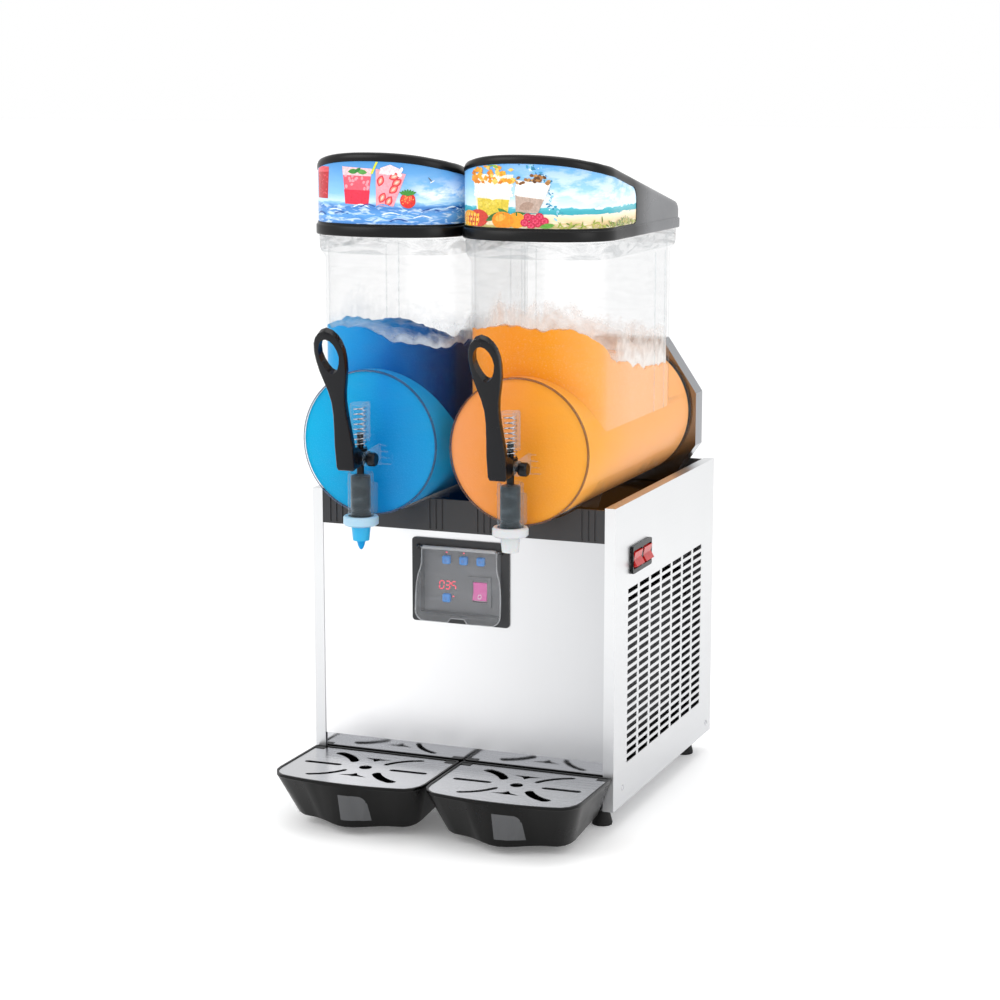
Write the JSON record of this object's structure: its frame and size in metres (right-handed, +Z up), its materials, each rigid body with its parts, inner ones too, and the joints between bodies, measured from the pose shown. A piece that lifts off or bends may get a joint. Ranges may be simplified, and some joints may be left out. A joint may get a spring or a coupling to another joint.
{
  "type": "slushie machine",
  "caption": "Twin-bowl frozen drink machine: clear bowls with lids and pull taps on a steel cabinet with drip trays and a control panel.",
  "frame": {"origin": "centre of the bounding box at floor level, under the feet", "axes": "+X to the machine's right as seen from the front, +Y to its rear, +Z up; the taps face -Y"},
  "size_m": [0.4081, 0.5844, 0.8218],
  "materials": {
    "stainless": "brushed satin",
    "polished": "mirror polished",
    "clear": "clear polycarbonate",
    "black_plastic": "satin black",
    "grey_plastic": "satin mid grey",
    "dark_grey": "satin dark grey",
    "white_plastic": "semi-gloss white",
    "picture": "glossy printed panel",
    "blue_key": "semi-gloss blue",
    "lit_rocker": "translucent red",
    "rubber": "matt black",
    "steel_wire": "bright spring wire",
    "black_paint": "black enamel",
    "fins": "bare fins"
  },
  "bodies": {
    "cabinet": {"base_pan": "polished", "side_panel_left": "stainless", "side_panel_right": "stainless", "front_panel": "stainless", "rear_panel": "stainless", "top_deck": "black_plastic", "front_strip": "dark_grey", "control_bezel": "dark_grey", "control_plate": "grey_plastic", "side_switch_frame": "black_plastic", "compressor": "black_paint", "condenser": "fins", "fan_motor": "black_paint", "power_inlet": "black_plastic", "foot_front_left": "rubber", "foot_front_right": "rubber", "foot_rear_left": "rubber", "foot_rear_right": "rubber", "gearmotor_left": "black_paint", "gearmotor_right": "black_paint", "bowl_seal_left": "rubber", "bowl_seal_right": "rubber", "rear_case_left": "stainless", "rear_case_right": "stainless", "evaporator_left": "stainless", "evaporator_right": "stainless"},
    "bowl_body_left": {"bowl_left": "clear", "tap_nozzle_left": "white_plastic", "valve_spring_left": "steel_wire"},
    "lid_body_left": {"lid_frame_left": "black_plastic", "lid_picture_left": "picture", "lid_tray_left": "white_plastic"},
    "auger_body_left": {"auger_left": "white_plastic"},
    "handle_body_left": {"tap_handle_left": "black_plastic", "tap_pin_left": "black_plastic"},
    "piston_body_left": {"valve_piston_left": "black_plastic"},
    "tray_body_left": {"drip_tray_left": "black_plastic"},
    "grid_body_left": {"drip_grid_left": "stainless"},
    "bowl_body_right": {"bowl_right": "clear", "tap_nozzle_right": "white_plastic", "valve_spring_right": "steel_wire"},
    "lid_body_right": {"lid_frame_right": "black_plastic", "lid_picture_right": "picture", "lid_tray_right": "white_plastic"},
    "auger_body_right": {"auger_right": "white_plastic"},
    "handle_body_right": {"tap_handle_right": "black_plastic", "tap_pin_right": "black_plastic"},
    "piston_body_right": {"valve_piston_right": "black_plastic"},
    "tray_body_right": {"drip_tray_right": "black_plastic"},
    "grid_body_right": {"drip_grid_right": "stainless"},
    "button_a_body": {"button_a": "blue_key"},
    "button_b_body": {"button_b": "blue_key"},
    "button_c_body": {"button_c": "blue_key"},
    "button_set_body": {"button_set": "blue_key"},
    "control_rocker_body": {"control_rocker": "lit_rocker"},
    "side_rocker_front_body": {"side_rocker_front": "lit_rocker"},
    "side_rocker_rear_body": {"side_rocker_rear": "lit_rocker"},
    "flap_body": {"control_flap": "clear"},
    "fan_body": {"fan_blade": "grey_plastic"}
  },
  "joints": [
    {"name": "bowl_pull_left", "type": "slide", "parent": "cabinet", "child": "bowl_body_left", "axis": [0, -1, 0], "range_m": [0, 0.4]},
    {"name": "lid_lift_left", "type": "slide", "parent": "bowl_body_left", "child": "lid_body_left", "axis": [0, 0, 1], "range_m": [0, 0.12]},
    {"name": "auger_turn_left", "type": "hinge", "parent": "cabinet", "child": "auger_body_left", "pos_m": [-0.0967, -0.1145, 0.473], "axis": [0, -1, 0], "continuous": true},
    {"name": "tap_pull_left", "type": "hinge", "parent": "bowl_body_left", "child": "handle_body_left", "pos_m": [-0.0967, -0.2075, 0.4598], "axis": [1, 0, 0], "range_deg": [0, 45], "stiffness_Nm_per_rad": 0.35, "springref_deg": -34.38, "deforming": ["valve_spring_left"]},
    {"name": "piston_lift_left", "type": "slide", "parent": "bowl_body_left", "child": "piston_body_left", "axis": [0, 0, 1], "range_m": [0, 0.0128]},
    {"name": "tray_pull_left", "type": "slide", "parent": "cabinet", "child": "tray_body_left", "axis": [0, -1, 0], "range_m": [0, 0.16]},
    {"name": "grid_lift_left", "type": "slide", "parent": "tray_body_left", "child": "grid_body_left", "axis": [0, 0, 1], "range_m": [0, 0.08]},
    {"name": "bowl_pull_right", "type": "slide", "parent": "cabinet", "child": "bowl_body_right", "axis": [0, -1, 0], "range_m": [0, 0.4]},
    {"name": "lid_lift_right", "type": "slide", "parent": "bowl_body_right", "child": "lid_body_right", "axis": [0, 0, 1], "range_m": [0, 0.12]},
    {"name": "auger_turn_right", "type": "hinge", "parent": "cabinet", "child": "auger_body_right", "pos_m": [0.0967, -0.1145, 0.473], "axis": [0, -1, 0], "continuous": true},
    {"name": "tap_pull_right", "type": "hinge", "parent": "bowl_body_right", "child": "handle_body_right", "pos_m": [0.0967, -0.2075, 0.4598], "axis": [1, 0, 0], "range_deg": [0, 45], "stiffness_Nm_per_rad": 0.35, "springref_deg": -34.38, "deforming": ["valve_spring_right"]},
    {"name": "piston_lift_right", "type": "slide", "parent": "bowl_body_right", "child": "piston_body_right", "axis": [0, 0, 1], "range_m": [0, 0.0128]},
    {"name": "tray_pull_right", "type": "slide", "parent": "cabinet", "child": "tray_body_right", "axis": [0, -1, 0], "range_m": [0, 0.16]},
    {"name": "grid_lift_right", "type": "slide", "parent": "tray_body_right", "child": "grid_body_right", "axis": [0, 0, 1], "range_m": [0, 0.08]},
    {"name": "button_a_press", "type": "slide", "parent": "cabinet", "child": "button_a_body", "axis": [0, 1, 0], "range_m": [0, 0.002], "stiffness_N_per_m": 400, "springref_m": -0.001},
    {"name": "button_b_press", "type": "slide", "parent": "cabinet", "child": "button_b_body", "axis": [0, 1, 0], "range_m": [0, 0.002], "stiffness_N_per_m": 400, "springref_m": -0.001},
    {"name": "button_c_press", "type": "slide", "parent": "cabinet", "child": "button_c_body", "axis": [0, 1, 0], "range_m": [0, 0.002], "stiffness_N_per_m": 400, "springref_m": -0.001},
    {"name": "button_set_press", "type": "slide", "parent": "cabinet", "child": "button_set_body", "axis": [0, 1, 0], "range_m": [0, 0.002], "stiffness_N_per_m": 400, "springref_m": -0.001},
    {"name": "control_rocker_tip", "type": "hinge", "parent": "cabinet", "child": "control_rocker_body", "pos_m": [0.0222, -0.1035, 0.2852], "axis": [1, 0, 0], "range_deg": [0, 16]},
    {"name": "side_rocker_front_tip", "type": "hinge", "parent": "cabinet", "child": "side_rocker_front_body", "pos_m": [0.2008, -0.0403, 0.3291], "axis": [0, 1, 0], "range_deg": [0, 18]},
    {"name": "side_rocker_rear_tip", "type": "hinge", "parent": "cabinet", "child": "side_rocker_rear_body", "pos_m": [0.2008, -0.0043, 0.3291], "axis": [0, 1, 0], "range_deg": [0, 18]},
    {"name": "flap_open", "type": "hinge", "parent": "cabinet", "child": "flap_body", "pos_m": [0, -0.1187, 0.3391], "axis": [-1, 0, 0], "range_deg": [0, 100]},
    {"name": "fan_spin", "type": "hinge", "parent": "cabinet", "child": "fan_body", "pos_m": [0.118, 0.087, 0.1485], "axis": [1, 0, 0], "continuous": true}
  ],
  "couplings": [
    {"joint": "piston_lift_left", "follows": "tap_pull_left", "m_per_rad": 0.016},
    {"joint": "piston_lift_right", "follows": "tap_pull_right", "m_per_rad": 0.016}
  ]
}
